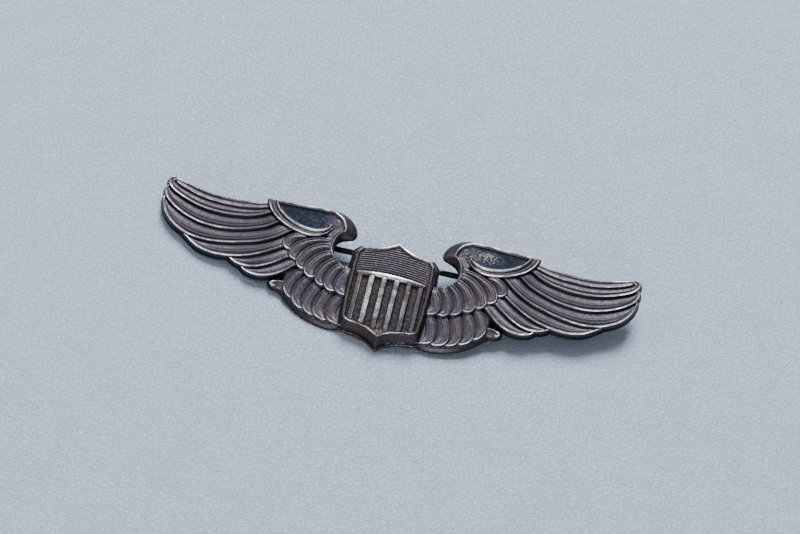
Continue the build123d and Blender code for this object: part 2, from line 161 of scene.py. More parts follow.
# Worn rims of the coverts, from the outermost inwards: root first, then round the end.
# The last of each row is only the neighbour of the one before it.
UPPER_RIMS = [
    [
        (15.6, 7.4), (17.2, 7.0), (18.1, 6.4), (18.6, 5.6), (18.65, 4.9), (18.3, 4.3),
        (17.6, 4.05), (16.6, 4.2),
    ],
    [
        (10.5, 7.5), (12.4, 7.3), (13.8, 6.95), (15.2, 6.35), (16.3, 5.6), (17.0, 4.7),
        (17.3, 3.9), (17.3, 3.2), (16.9, 2.65), (16.1, 2.4), (15.2, 2.5),
    ],
    [
        (10.2, 6.7), (11.8, 6.4), (13.1, 5.95), (14.2, 5.2), (15.05, 4.2), (15.6, 3.1),
        (15.8, 2.2), (15.5, 1.5), (14.9, 1.15), (13.8, 1.2),
    ],
    [
        (9.5, 5.6), (10.8, 5.3), (11.9, 4.8), (12.9, 4.0), (13.7, 2.9), (14.15, 1.8), (14.2, 1.1),
        (13.9, 0.4), (13.2, 0.0), (12.0, 0.1),
    ],
    [
        (8.8, 4.6), (9.9, 4.2), (11.0, 3.3), (11.7, 2.3), (12.1, 1.3), (12.25, 0.5), (12.1, -0.3),
        (11.6, -0.85), (10.9, -1.05), (10.0, -0.9),
    ],
    [
        (8.9, 3.4), (9.9, 2.2), (10.4, 1.0), (10.55, 0.0), (10.4, -0.8), (10.0, -1.4),
        (9.3, -1.65), (8.3, -1.5),
    ],
    [
        (7.6, 2.8), (8.4, 1.5), (8.75, 0.3), (8.8, -0.6), (8.4, -1.4), (7.7, -1.8), (6.6, -1.9),
        (5.0, -1.9),
    ],
    [(5.0, 2.8), (6.0, 1.5), (6.5, 0.3), (6.6, -0.9), (6.2, -1.9)],
]
UPPER_ROOTS = [
    (14.0, 5.0), (10.2, 5.6), (9.6, 4.8), (8.9, 3.4), (8.2, 2.4), (7.2, 1.8), (5.0, 1.5),
]

LOWER_RIMS = [
    [
        (14.4, 1.6), (15.6, 0.6), (16.3, -0.5), (16.75, -1.6), (16.75, -2.5), (16.4, -3.3),
        (15.7, -4.0), (14.6, -4.3),
    ],
    [
        (13.0, 1.0), (14.0, -0.3), (14.65, -1.5), (15.0, -2.8), (15.0, -3.8), (14.75, -4.6),
        (14.2, -5.2), (13.4, -5.6), (12.6, -5.5),
    ],
    [
        (11.2, 0.6), (12.2, -0.9), (12.8, -2.3), (13.15, -3.6), (13.1, -4.5), (12.9, -5.2),
        (12.4, -5.9), (11.4, -6.35), (10.6, -6.2),
    ],
    [
        (9.2, 0.2), (10.2, -1.5), (10.9, -3.2), (11.2, -4.5), (11.2, -5.3), (10.9, -6.0),
        (10.3, -6.5), (9.3, -6.8), (8.4, -6.6),
    ],
    [
        (7.2, -0.2), (8.0, -1.8), (8.7, -3.2), (9.0, -4.6), (9.0, -5.5), (8.75, -6.2), (8.2, -6.7),
        (6.8, -7.0), (5.0, -7.0),
    ],
    [(4.8, -0.2), (5.8, -1.8), (6.5, -3.2), (6.9, -4.6), (6.9, -5.8), (6.5, -6.9)],
]
LOWER_ROOTS = [
    (12.0, 1.0), (11.5, 0.5), (9.5, 0.0), (7.6, 0.0), (5.0, -1.0),
]

# Lower rims of the long feathers, from the leading one down: tip first, then in to the root
LONG_RIMS = [
    [
        (39.0, 12.85), (39.5, 12.6), (39.7, 12.0), (39.4, 11.2), (38.5, 10.35), (37.0, 9.55),
        (35.0, 8.75), (33.0, 8.2), (31.0, 7.95), (29.0, 7.9), (27.0, 8.05), (25.0, 8.4),
        (23.1, 9.1), (21.0, 10.4),
    ],
    [
        (39.5, 11.25), (39.85, 10.6), (39.75, 9.7), (39.2, 8.75), (38.0, 7.7), (36.0, 6.55),
        (34.0, 5.8), (32.0, 5.35), (30.0, 5.25), (28.0, 5.35), (26.0, 5.7), (24.0, 6.3),
        (22.0, 7.1), (20.6, 8.1), (19.0, 9.5),
    ],
    [
        (39.65, 9.4), (39.75, 8.5), (39.35, 7.05), (38.4, 5.55), (37.0, 4.3), (35.0, 3.25),
        (33.0, 2.75), (31.0, 2.6), (29.0, 2.75), (27.0, 3.05), (25.0, 3.55), (23.0, 4.1),
        (21.0, 5.0), (19.3, 6.1), (18.0, 7.2), (16.6, 8.5),
    ],
    [
        (34.9, 3.0), (34.0, 2.35), (33.2, 1.75), (32.0, 1.1), (30.0, 0.6), (28.0, 0.55),
        (26.0, 0.8), (24.0, 1.3), (22.5, 1.9), (21.0, 2.65), (19.0, 3.9), (17.4, 5.2), (15.5, 7.0),
    ],
    [
        (26.7, 0.6), (26.0, 0.05), (25.0, -0.35), (23.5, -0.5), (22.0, -0.25), (20.6, 0.35),
        (19.2, 1.15), (17.8, 2.15), (16.6, 3.2), (15.0, 4.8),
    ],
    [
        (24.3, -0.7), (23.5, -1.3), (22.0, -1.65), (20.5, -1.55), (19.0, -1.05), (17.6, -0.2),
        (16.5, 0.75), (15.0, 2.2), (14.0, 3.4),
    ],
]
# For each of them, a line under the feather above it that closes its outline.
# The leading one needs none.
LONG_COVERED = [
    [],
    [(19.5, 12.0), (21.0, 11.0), (23.2, 9.8), (30.0, 9.2), (36.0, 10.6), (39.0, 11.8)],
    [(17.2, 11.0), (19.0, 10.2), (21.0, 8.5), (28.0, 6.6), (34.0, 7.3), (39.3, 9.9)],
    [(15.5, 9.0), (17.4, 8.6), (19.6, 6.6), (24.0, 4.5), (28.0, 4.0), (34.8, 3.8)],
    [(14.5, 6.5), (16.8, 6.6), (19.2, 4.7), (21.3, 3.3), (23.0, 2.5), (26.9, 1.6)],
    [(13.5, 4.4), (15.8, 4.7), (18.0, 2.8), (21.0, 1.0), (24.5, 0.2)],
]
LEADING_EDGE = [
    (21.0, 11.95), (24.0, 11.15), (26.0, 11.0), (28.0, 10.95), (30.0, 10.95), (32.0, 11.1),
    (34.0, 11.45), (36.0, 12.0), (37.8, 12.55), (38.6, 12.8),
]
LEADING_RIB = [
    (20.5, 11.2), (23.3, 10.4), (25.0, 10.0), (27.0, 9.75), (29.0, 9.7), (31.0, 9.75),
    (33.0, 10.0), (35.0, 10.5), (37.0, 11.2), (38.3, 11.85),
]
TERTIAL = [
    (15.6, -1.7), (17.2, -1.5), (18.5, -1.7), (19.15, -2.15), (18.85, -2.65), (18.0, -2.85),
    (17.0, -2.85), (15.8, -2.5),
]

GROUND = [
    (0.0, -6.0), (4.0, -6.6), (5.7, -7.25), (7.0, -7.68), (8.0, -7.83), (9.0, -7.8), (11.0, -7.45),
    (13.0, -6.75), (14.6, -5.85), (16.0, -4.75), (16.9, -3.9), (17.6, -2.9), (17.6, 0.4),
    (17.4, 4.5), (14.0, 6.8), (12.0, 6.6), (9.6, 3.8), (7.5, 2.9), (0.0, 2.8),
]
# Outer edge of the neck and the hook, at the back
NECK_OUTLINE = [
    (4.5, 3.2), (6.0, 3.25), (7.9, 3.45), (8.8, 3.8), (9.6, 4.4), (10.1, 5.2), (10.3, 6.1),
    (10.1, 7.0), (9.5, 7.65), (8.5, 8.1), (7.6, 8.45), (7.25, 8.95), (7.2, 9.6), (7.6, 10.6),
    (8.3, 11.5), (9.2, 12.2), (10.4, 12.7), (12.0, 12.85), (15.0, 12.65), (18.0, 12.45),
    (21.0, 12.4), (23.0, 12.45),
]
NECK_INNER = [
    (23.0, 11.0), (20.0, 9.5), (14.0, 8.5), (12.6, 7.0), (11.6, 5.0), (9.6, 3.0), (8.0, 2.0),
    (4.5, 1.6),
]
NECK_RIM = [
    (4.5, 2.85), (6.0, 2.85), (7.2, 2.95), (7.9, 3.1), (8.5, 3.3), (9.25, 3.85), (10.0, 4.6),
    (10.5, 5.3), (10.7, 6.2), (10.55, 7.1), (10.3, 8.0), (9.8, 8.65), (9.2, 9.15),
]
CAP_TOP_RIM = [
    (9.2, 9.15), (9.3, 10.0), (9.9, 11.1), (10.9, 11.8), (12.2, 12.2), (15.0, 12.25),
    (18.0, 12.15), (21.35, 12.1),
]
CAP_INNER_RIM = [
    (21.35, 12.1), (21.0, 11.25), (20.3, 10.4), (19.2, 9.5), (17.5, 8.7), (16.0, 8.35),
    (14.3, 8.25), (12.8, 8.6), (12.0, 9.1), (11.75, 9.6),
]
CAP_OUTER_RIM = [
    (22.8, 12.2), (22.5, 11.2), (22.0, 10.3), (21.0, 9.25), (20.0, 8.6), (18.5, 7.85), (17.0, 7.4),
    (15.5, 7.15), (14.0, 7.2), (12.8, 7.6), (12.0, 8.2), (11.4, 9.0),
]
# Plate that the long feathers' roots stand on, under the coverts
FEATHER_ROOTS = [
    (13.5, 0.5), (16.4, 1.3), (18.5, 0.2), (22.0, 1.0), (24.0, 4.0), (23.5, 8.5), (21.5, 11.6),
    (12.0, 9.0),
]


def curve(points, parts=8):
    """A smooth line through the points, as an array of many short steps."""
    p = np.array(points, float)
    p = np.vstack([2 * p[0] - p[1], p, 2 * p[-1] - p[-2]])
    t = np.linspace(0, 1, parts, endpoint=False)[:, None]
    runs = []
    for a, b, c, d in zip(p[:-3], p[1:-2], p[2:-1], p[3:]):
        squared = (2 * a - 5 * b + 4 * c - d) * t**2
        cubed = (3 * b - a - 3 * c + d) * t**3
        runs.append(0.5 * (2 * b + (c - a) * t + squared + cubed))
    return np.vstack(runs + [p[-2:-1]])


def distance(line, x, y):
    """Distance from each grid point to a line of short steps, and how far along the line that is."""
    nearest = np.full(x.shape, 1e9)
    along = np.zeros(x.shape)
    lengths = np.hypot(*(line[1:] - line[:-1]).T)
    start = 0.0
    for (ax, ay), (bx, by), length in zip(line[:-1], line[1:], lengths):
        if length == 0:
            continue
        t = np.clip(((x - ax) * (bx - ax) + (y - ay) * (by - ay)) / length**2, 0, 1)
        gap = (x - ax - t * (bx - ax)) ** 2 + (y - ay - t * (by - ay)) ** 2
        closer = gap < nearest
        nearest[closer] = gap[closer]
        along[closer] = start + t[closer] * length
        start += length
    return np.sqrt(nearest), along / start


def inside(line, x, y):
    """True at the grid points that a closed outline holds."""
    held = np.zeros(x.shape, bool)
    for (ax, ay), (bx, by) in zip(line, np.roll(line, -1, axis=0)):
        if ay == by:
            continue
        crosses = (ay > y) != (by > y)
        held ^= crosses & (x < (bx - ax) * (y - ay) / (by - ay) + ax)
    return held


def signed(line, x, y):
    """Distance to a closed outline, positive inside it."""
    gap, _ = distance(np.vstack([line, line[:1]]), x, y)
    return np.where(inside(line, x, y), gap, -gap)


def smooth(value, low, high):
    """0 below low, 1 above high, and a smooth rise between them."""
    t = np.clip((value - low) / (high - low), 0, 1)
    return t * t * (3 - 2 * t)


def ridge(value, centre, width):
    """A rounded ridge, 1 high, across the value."""
    return np.exp(-(((value - centre) / width) ** 2))


def blurred(field, sigma):
    """The field with a Gaussian blur of sigma grid steps."""
    reach = int(3 * sigma) + 1
    kernel = np.exp(-0.5 * (np.arange(-reach, reach + 1) / sigma) ** 2)
    kernel /= kernel.sum()
    for axis in (0, 1):
        before = np.repeat(field.take([0], axis), reach, axis)
        after = np.repeat(field.take([-1], axis), reach, axis)
        padded = np.concatenate([before, field, after], axis)
        count = field.shape[axis]
        field = sum(weight * padded.take(range(k, k + count), axis) for k, weight in enumerate(kernel))
    return field


class Relief:
    """A height field on a grid, painted one feather over another."""

    def __init__(self, low, high, step):
        self.step = step
        self.xs = np.arange(low[0], high[0], step)
        self.ys = np.arange(low[1], high[1], step)
        self.x, self.y = np.meshgrid(self.xs, self.ys)
        self.height = np.zeros(self.x.shape)
        self.bare_and_sheen = np.zeros(self.x.shape)  # where rubbing has bared bright metal, and where highlights are painted, from 0 to 1
        self.reach = np.full(self.x.shape, -1e9)  # distance inside everything that was laid
        self.smoothness = np.zeros(self.x.shape)  # 1 where the metal is polished flat and dark
        self.soil = np.zeros(self.x.shape)  # darkening added to what the hollows have: painted shade on the wings; on the shield, patina in the grooves, a darker chief and less on the wall
        self.extra_patina_and_painted_shade = np.zeros(self.x.shape)  # tarnish added to what the hollows have

    def window(self, line, margin=1.2):
        """The part of the grid round a line."""
        (x0, y0), (x1, y1) = line.min(0) - margin, line.max(0) + margin
        i0, i1 = np.searchsorted(self.xs, (x0, x1))
        j0, j1 = np.searchsorted(self.ys, (y0, y1))
        return slice(max(j0 - 1, 0), j1 + 1), slice(max(i0 - 1, 0), i1 + 1)

    def lay(self, outline, profile, edge, groove=0.12, groove_width=0.16, wall_width=WALL_WIDTH):
        """Lays a raised piece over what is there: its own profile inside, a steep wall outside."""
        at = self.window(outline)
        x, y = self.x[at], self.y[at]
        gap = signed(outline, x, y)
        top, bare_and_sheen = profile(x, y, gap)
        wall = edge + WALL_SLOPE * np.minimum(gap, 0)
        below = self.height[at] - groove * np.exp(np.minimum(gap, 0) / groove_width)
        on_wall = np.where(wall > below, 0.0, self.bare_and_sheen[at] * smooth(-gap, 0.05, 0.3))
        self.height[at] = np.where(gap > 0, top, np.maximum(below, wall))
        self.bare_and_sheen[at] = np.where(gap > 0, bare_and_sheen, on_wall)
        self.reach[at] = np.maximum(self.reach[at], gap + wall_width)

    def hollow_patina_and_shade(self):
        """How hollow each spot is against what is round it, from 0 to 1, with the added darkening and
        painted shade.
        """
        near, wide, wider = (
            blurred(self.height, blur / self.step) for blur in (NEAR_BLUR, WIDE_BLUR, WIDER_BLUR)
        )
        return np.clip((0.65 * (wide - near) + 0.35 * (wider - near)) / HOLLOW_DEPTH + self.extra_patina_and_painted_shade, 0, 1)


def feather(rim, neighbour, rise, dip, lines, depth, bead, bead_bareness_and_sheen, bead_in=0.13):
    """The profile of a feather: a bead along its rim, fine barbs, and a fall towards its neighbour.

    The bead is this high and lies bead_in inside the rim. The barbs are this many lines of this depth.
    """
    rim_line = curve(rim)
    next_line = curve(neighbour)
    at_start, at_end, fade_from, fade_to = bead_bareness_and_sheen

    def profile(x, y, gap):
        own, along = distance(rim_line, x, y)
        other, _ = distance(next_line, x, y)
        across = own / (own + other + 1e-6)
        height = rise - dip * (0.35 * across + 0.65 * smooth(across, 0.5, 1.0))
        rim_ridge = ridge(own, bead_in, bead_in)
        bare_metal_and_sheen = ridge(own, bead_in, 0.68 * bead_in)
        height += bead * rim_ridge - 0.7 * bead * ridge(own, 3.4 * bead_in, bead_in)
        turn = 2 * np.pi * lines * across
        barbs = 0.6 * np.cos(turn + 1.0) + 0.4 * np.cos(1.7 * turn)
        height += depth * barbs * smooth(own, 3 * bead_in, 5 * bead_in) * smooth(along, 0.02, 0.25)
        return height, bare_metal_and_sheen * (at_start + (at_end - at_start) * smooth(along, fade_from, fade_to))

    return profile


def flat(height):
    """A plain level piece, with nothing bared bright."""
    return lambda x, y, gap: (np.full(x.shape, height), np.zeros(x.shape))


def lay_long_feathers(relief):
    """The tertial, then the long feathers from the lowest up to the one below the leading one."""

    def tertial(x, y, gap):
        lip = ridge(gap, 0.18, 0.16) * smooth(x, 18.0, 18.8)
        height = TERTIAL_HEIGHT + 0.16 * lip - 0.1 * smooth(-y, 1.2, 2.8) * (1 - lip)
        return height, 1.1 * lip

    relief.lay(curve(TERTIAL), tertial, TERTIAL_HEIGHT)
    relief.lay(curve(FEATHER_ROOTS), flat(ROOTS_HEIGHT), ROOTS_HEIGHT, wall_width=0.0)
    for index in reversed(range(1, len(LONG_RIMS))):
        rim, above = LONG_RIMS[index], LONG_RIMS[index - 1]
        outline = np.vstack([curve(rim), curve(LONG_COVERED[index])])
        barbs = LONG_BARBS[index]
        shape = feather(rim, above, LONG_RISE, LONG_DIP, barbs, LONG_BARB_DEPTH, LONG_BEAD, LONG_BARENESS_AND_SHEEN)
        relief.lay(outline, shape, LONG_WALL_TOP, groove=LONG_GROOVE, groove_width=GROOVE_WIDTH)


def lay_leading_feather(relief):
    """The leading feather: a lower part like the other long feathers, and a hollow vane above a rib."""
    rim, barbs = LONG_RIMS[0], LONG_BARBS[0]
    leading = np.vstack([curve(rim), curve(LEADING_EDGE)])
    shape = feather(
        rim, LEADING_RIB, LEADING_RISE, LEADING_DIP, barbs, LONG_BARB_DEPTH, LONG_BEAD, LEADING_BARENESS_AND_SHEEN
    )
    relief.lay(leading, shape, LEADING_WALL_TOP, groove=LONG_GROOVE, groove_width=GROOVE_WIDTH)
    rib, top_edge = curve(LEADING_RIB), curve(LEADING_EDGE)
    vane = np.vstack([rib, top_edge[::-1]])

    def vane_profile(x, y, gap):
        own, _ = distance(rib, x, y)
        top, along = distance(top_edge, x, y)
        lip, crest = ridge(top, 0.14, 0.14), ridge(own, 0.1, 0.1)
        height = VANE_HEIGHT + 0.05 * crest - 0.16 * ridge(own, 0.75, 0.42) + 0.14 * lip
        return height, 0.35 * crest + lip * (0.3 + 0.45 * smooth(along, 0.55, 0.95))

    relief.lay(vane, vane_profile, VANE_WALL_TOP, groove=0.14, groove_width=GROOVE_WIDTH)


def lay_coverts(relief):
    """The two rows of coverts, each from the outermost feather inwards."""
    rows = ((LOWER_RIMS, LOWER_ROOTS, LOWER_RISE), (UPPER_RIMS, UPPER_ROOTS, UPPER_RISE))
    for rims, roots, rise in rows:
        for index, (rim, root) in enumerate(zip(rims, roots)):
            bead_bareness_and_sheen = (0.0, 0.85 - 0.05 * index, 0.45, 0.75)
            shape = feather(
                rim, rims[index + 1], rise, COVERT_DIP, COVERT_BARBS, COVERT_BARB_DEPTH,
                COVERT_BEAD, bead_bareness_and_sheen, bead_in=0.1,
            )
            relief.lay(
                np.vstack([curve(rim), [root]]), shape, rise - 0.02,
                groove=COVERT_GROOVE, groove_width=GROOVE_WIDTH, wall_width=HIDDEN,
            )


def lay_neck(relief):
    """The neck and hook: a dark shoulder rises from the outer edge to a rim round pebbled metal.

    Returns how far each spot lies inside them.
    """
    x, y = relief.x, relief.y
    outer, inner_line = curve(NECK_OUTLINE), curve(NECK_INNER)
    rim_line = np.vstack([curve(NECK_RIM), curve(CAP_TOP_RIM)])
    neck_gap = signed(np.vstack([outer, inner_line]), x, y)
    to_edge, _ = distance(outer, x, y)
    to_rim, _ = distance(rim_line, x, y)
    within = inside(np.vstack([rim_line, [(23.0, 12.1), (23.0, 0.0), (4.5, 0.0)]]), x, y)
    rim_top = NECK_RIM_HEIGHT + 0.25 * smooth(y, 6.0, 9.0)
    shoulder = EDGE_HEIGHT + (rim_top - EDGE_HEIGHT) * (to_edge / (to_edge + to_rim + 1e-6)) ** 0.7
    pebbles = blurred(np.random.default_rng(7).standard_normal(x.shape), 2.2)
    plain = NECK_HEIGHT + 0.07 * pebbles
    crest = ridge(to_rim, 0.08, 0.14)
    inner = plain + (rim_top - plain) * ridge(to_rim, 0.0, 0.26)
    shape = np.where(within, inner, shoulder)
    to_inner, _ = distance(inner_line, x, y)
    share = np.where(neck_gap > 0, np.where(within, smooth(to_inner, 0.1, 1.3), 1.0), 0.0)
    relief.height = relief.height * (1 - share) + shape * share
    relief.bare_and_sheen = relief.bare_and_sheen * (1 - share) + 0.6 * crest * within * share
    return neck_gap


def lay_cap(relief):
    """The cap: a band with a rim on each side, round a smooth hollow that opens to the neck."""
    outer, inner, top = curve(CAP_OUTER_RIM), curve(CAP_INNER_RIM), curve(CAP_TOP_RIM)
    strip = np.vstack([outer, inner[::-1]])

    def band(x, y, gap):
        from_outer, along = distance(outer, x, y)
        from_inner, _ = distance(inner, x, y)
        lip = ridge(from_outer, 0.13, 0.12)
        steps = 0.03 * ridge(from_outer, 0.62, 0.1) - 0.06 * ridge(from_outer, 0.42, 0.13)
        height = BAND_HEIGHT + 0.1 * lip + steps - 0.16 * ridge(from_inner, 0.32, 0.16)
        return height, 0.7 * lip * smooth(along, 1.0, 0.86)

    relief.lay(strip, band, BAND_HEIGHT, groove=0.2, groove_width=0.25, wall_width=0.0)
    field = np.vstack([top, inner[1:]])
    at = relief.window(field)
    x, y = relief.x[at], relief.y[at]
    held = signed(field, x, y) > 0
    to_top, _ = distance(top, x, y)
    to_inner, _ = distance(inner, x, y)
    to_rim = np.minimum(to_top, to_inner)
    kept = relief.height[at]
    sunk = smooth(x, 10.8, 12.6)  # the hollow runs out into the pebbled neck at its left end
    hollow = CAP_FLOOR + (CAP_RIM - CAP_FLOOR) * ridge(to_rim, 0.0, 0.2)
    outer_side = np.maximum(kept, CAP_RIM - WALL_SLOPE * to_inner)
    relief.height[at] = np.where(held, kept * (1 - sunk) + hollow * sunk, outer_side)
    bright = ridge(to_rim, 0.02, 0.13)
    relief.bare_and_sheen[at] = np.maximum(relief.bare_and_sheen[at], bright * np.where(to_top < to_inner, 0.9, 0.95))
    relief.smoothness[at] = np.where(held, smooth(x, 11.2, 13.2) * smooth(to_rim, 0.15, 0.4), 0)


def build_wing():
    """The relief of the right-hand wing."""
    relief = Relief((WING_LEFT, WING_BOTTOM), (WING_RIGHT, WING_TOP), WING_STEP)
    ground_gap = signed(curve(GROUND), relief.x, relief.y)
    relief.height = EDGE_HEIGHT + GROUND_RISE * smooth(ground_gap, 0.0, 0.9)
    lay_long_feathers(relief)
    lay_leading_feather(relief)
    lay_coverts(relief)
    neck_gap = lay_neck(relief)
    lay_cap(relief)
    on_tertial = ridge(relief.x, 18.7, 0.9) * ridge(relief.y, -2.2, 0.8)
    # Painted shade: the tertial and the long feathers from x = 16.5 mm outwards are darkened beyond what
    # their hollows give
    relief.extra_patina_and_painted_shade = 0.25 * on_tertial + 0.76 * smooth(relief.x, 16.5, 22.0)
    in_cap = ridge(relief.x, 14.2, 2.4) * ridge(relief.y, 10.3, 1.2)
    on_neck = ridge(relief.x, 10.3, 1.2) * ridge(relief.y, 8.2, 1.6)
    relief.soil = np.maximum(in_cap, 0.45 * on_neck)
    relief.inside_by = np.maximum(np.maximum(relief.reach, ground_gap), neck_gap)
    return relief


def shield_line(grow_side=0.0, grow_tip=0.0):
    """The shield's outline, clockwise from its apex, grown all round and more towards its tip."""
    top = curve([(0.0, 8.75), (1.3, 8.0), (2.7, 7.4), (4.2, 7.05), (5.6, 6.9)])
    side = curve([(6.4, 5.9), (6.5, 3.0), (6.5, 0.0), (6.45, -2.5), (6.3, -4.9)])
    heel = curve([(6.3, -4.9), (6.2, -5.7), (5.85, -6.3), (5.1, -6.65)])
    flank = curve([(5.1, -6.65), (3.6, -6.8), (2.2, -7.15), (0.9, -7.75), (0.0, -8.36)])
    half = np.vstack([top, side, heel[1:], flank[1:]])
    below = smooth(-half[:, 1], 0.0, 8.0)
    wider = 1 + grow_side / SHIELD_HALF_WIDTH
    taller = 1 + (grow_side * (1 - below) + grow_tip * below) / SHIELD_HALF_HEIGHT
    grown = np.column_stack([half[:, 0] * wider, half[:, 1] * taller])
    return np.vstack([grown, grown[-2:0:-1] * (-1, 1)])


def build_shield():
    """The shield's relief: a rim, a chief of fine lines over a plain band, and upright bars."""
    relief = Relief((-7.4, -9.6), (7.4, 9.6), SHIELD_STEP)
    x, y = relief.x, relief.y
    gap = signed(shield_line(), x, y)
    foot_gap = signed(shield_line(SHIELD_DRAFT, TIP_DRAFT), x, y)
    side = np.abs(x)

    # Wall: straight from the face's edge down to the foot
    wall_share = np.clip(-gap, 0, None) / (np.clip(-gap, 0, None) + np.clip(foot_gap, 0, None) + 1e-6)
    wall = SHIELD_TOP * (1 - wall_share)

    # Rim
    rim_inner = 0.5 - 0.12 * smooth(-y, 5.0, 6.5)
    in_rim = 1 - smooth(gap, rim_inner - 0.06, rim_inner + 0.06)
    rim = SHIELD_TOP - 0.09 * ((gap - 0.24) / 0.24) ** 2

    # Chief: fine lines that bend with the band below them
    band_top = 3.02 - 0.016 * side**2
    band_low = 2.28 - 0.007 * side**2
    level = y - band_top
    lines = np.cos(2 * np.pi * level / CHIEF_LINE_PITCH)
    lines *= smooth(level, 0.2, 0.5) * smooth(gap, 0.55, 0.8)
    chief = SHIELD_TOP - CHIEF_DEPTH + CHIEF_LINE_HEIGHT * lines
    band = SHIELD_TOP - 0.03 - 0.07 * ((y - (band_top + band_low) / 2) / 0.36) ** 2

    # Bars: flat tops with steep sides, running out at the bottom
    phase = np.abs((side / STRIPE_PITCH) % 1 - 0.5) * STRIPE_PITCH
    striped = side < STRIPES_OUT_TO
    bar = (1 - smooth(phase, 0.4, 0.54)) * striped
    outer_bar = smooth(side, 4.58, 4.72) * (1 - smooth(side, 5.4, 5.55))
    ends_low = -7.0 + 0.2 * side
    rounded = 1 - smooth(-y, -ends_low - 0.25, -ends_low + 0.1)
    floor_texture = 0.045 * blurred(np.random.default_rng(3).standard_normal(x.shape), 2.2)
    groove = SHIELD_TOP - GROOVE_DEPTH + floor_texture
    top = SHIELD_TOP - 0.06 - 0.05 * (phase / 0.45) ** 2 * striped - 0.06 * (side > STRIPES_OUT_TO)
    height_bars = groove + (top - groove) * np.maximum(bar, 0.85 * outer_bar)
    run_out = height_bars * rounded + (SHIELD_TOP - 0.2) * (1 - rounded)
    height_bars = np.where(y < ends_low, run_out, height_bars)

    below_band = 1 - smooth(y, band_low - 0.08, band_low + 0.08)
    above_band = smooth(y, band_top - 0.08, band_top + 0.05)
    band_part = (1 - below_band) * (1 - above_band) * (1 - smooth(side, 5.6, 5.9))
    face = height_bars * below_band + chief * above_band + band * band_part
    missing = np.clip(1 - below_band - above_band - band_part, 0, 1)
    face += missing * (SHIELD_TOP - 0.3)
    relief.height = np.where(gap > 0, rim * in_rim + face * (1 - in_rim), wall)

    # Bare metal: the top rim, the band's middle, the bars nearest to it, and a seam low on the wall. The
    # bars and outer ridges are brighter on the left by painted reflection, and the seam's bright line is
    # partly painted highlight.
    speckle = 0.85 + 0.5 * blurred(np.random.default_rng(5).standard_normal(x.shape), 1.2)
    top_rim = (0.35 + 0.65 * (1 - smooth(side, 1.5, 4.5))) * smooth(y, 5.0, 6.4)
    low_rim = 0.4 * smooth(-y, 5.5, 6.3)
    rim_worn = np.maximum(np.maximum(top_rim, SIDE_RIM_WEAR), low_rim) * ridge(gap, 0.24, 0.2)
    band_worn = band_part * (0.25 + 0.75 * (1 - smooth(side, 2.0, 4.8)))
    wear_down = 1 - 0.7 * smooth(-y, 3.8, 6.2) * (1 - smooth(side, 1.2, 2.6))
    # Painted reflection: the bars and the outer ridge are brighter on the left, and the bars dimmer on
    # the right
    left_brighter = 0.40 + 0.16 * smooth(-x, -3.0, 3.0)
    bar_bareness_and_sheen = bar * below_band * rounded * wear_down * left_brighter * (1 - 0.5 * smooth(x, 2.2, 3.6))
    ridge_bareness_and_sheen = 0.6 * ridge(side, 4.72, 0.1) * below_band * rounded * (0.4 + 0.6 * (x < 0))
    face_bareness_and_sheen = np.maximum(np.maximum(band_worn, bar_bareness_and_sheen), ridge_bareness_and_sheen) * speckle
    # Partly scratches and partly painted highlight: a bright line along the seam on the lower right of
    # the wall
    on_lower_right = smooth(x, 0.6, 2.0) * (1 - smooth(x, 4.0, 5.6)) * smooth(-y, 5.5, 6.5)
    seam = ridge(wall_share, 0.68, 0.09) * on_lower_right
    seam *= 0.34 + 1.3 * blurred(np.random.default_rng(9).standard_normal(x.shape), 3.0)
    relief.bare_and_sheen = np.clip(np.where(gap > 0, rim_worn * in_rim + face_bareness_and_sheen * (1 - in_rim), seam), 0, 1)

    # Patina in the grooves, a darker chief, less darkening on the wall, and dirt
    groove_share = below_band * np.clip(1 - np.maximum(bar, outer_bar), 0, 1) * rounded
    relief.extra_patina_and_painted_shade = (0.26 * groove_share + 0.76 * above_band) * (gap > rim_inner) - 0.3 * (gap < 0)
    relief.soil = 0.7 * ridge(x, 0.3, 2.0) * ridge(y, -6.2, 1.1)
    relief.inside_by = foot_gap - 0.15
    relief.height = np.where(gap > 0, relief.height, np.maximum(relief.height, SEAT_HEIGHT))
    return relief


def build_seat():
    """The seat behind the shield: a plain plate a little larger than the shield's foot."""
    relief = Relief((-7.6, -9.8), (7.6, 9.8), SEAT_STEP)
    relief.height += SEAT_HEIGHT
    relief.inside_by = signed(shield_line(SHIELD_DRAFT + 0.02, TIP_DRAFT + 0.02), relief.x, relief.y)
    return relief


def bow(x):
    """Height of the badge's back at a distance x from the middle, in millimetres."""
    return np.sqrt(BOW_RADIUS**2 - x**2) - BOW_RADIUS


def border_of(quads, count):
    """The edges that only one quad uses, running anticlockwise round the face, and the points on them."""
    pairs = np.vstack([quads[:, [k, (k + 1) % 4]] for k in range(4)])
    forward = pairs[:, 0] * count + pairs[:, 1]
    backward = pairs[:, 1] * count + pairs[:, 0]
    border = pairs[~np.isin(forward, backward)]
    return border, np.unique(border)


def plain_back(relief, ring_points, ring_edges):
    """Triangles that close the back, from the border and a loose grid of points inside it."""
    spots = []
    for spot_y in np.arange(relief.ys[0], relief.ys[-1], BACK_SPACING):
        row = np.searchsorted(relief.ys, spot_y)
        for spot_x in np.arange(relief.xs[0] + BACK_SPACING / 2, relief.xs[-1], BACK_SPACING):
            column = np.searchsorted(relief.xs, spot_x)
            if relief.inside_by[row, column] > BACK_SPACING / 2:
                spots.append(Vector((spot_x, spot_y)))
    flat_points = [Vector(p) for p in ring_points] + spots
    edges = [tuple(int(end) for end in edge) for edge in ring_edges]
    points, _, faces = delaunay_2d_cdt(flat_points, edges, [], 1, 1e-7)[:3]
    return np.array([tuple(p) for p in points[len(ring_points):]]), np.array(faces)[:, ::-1]


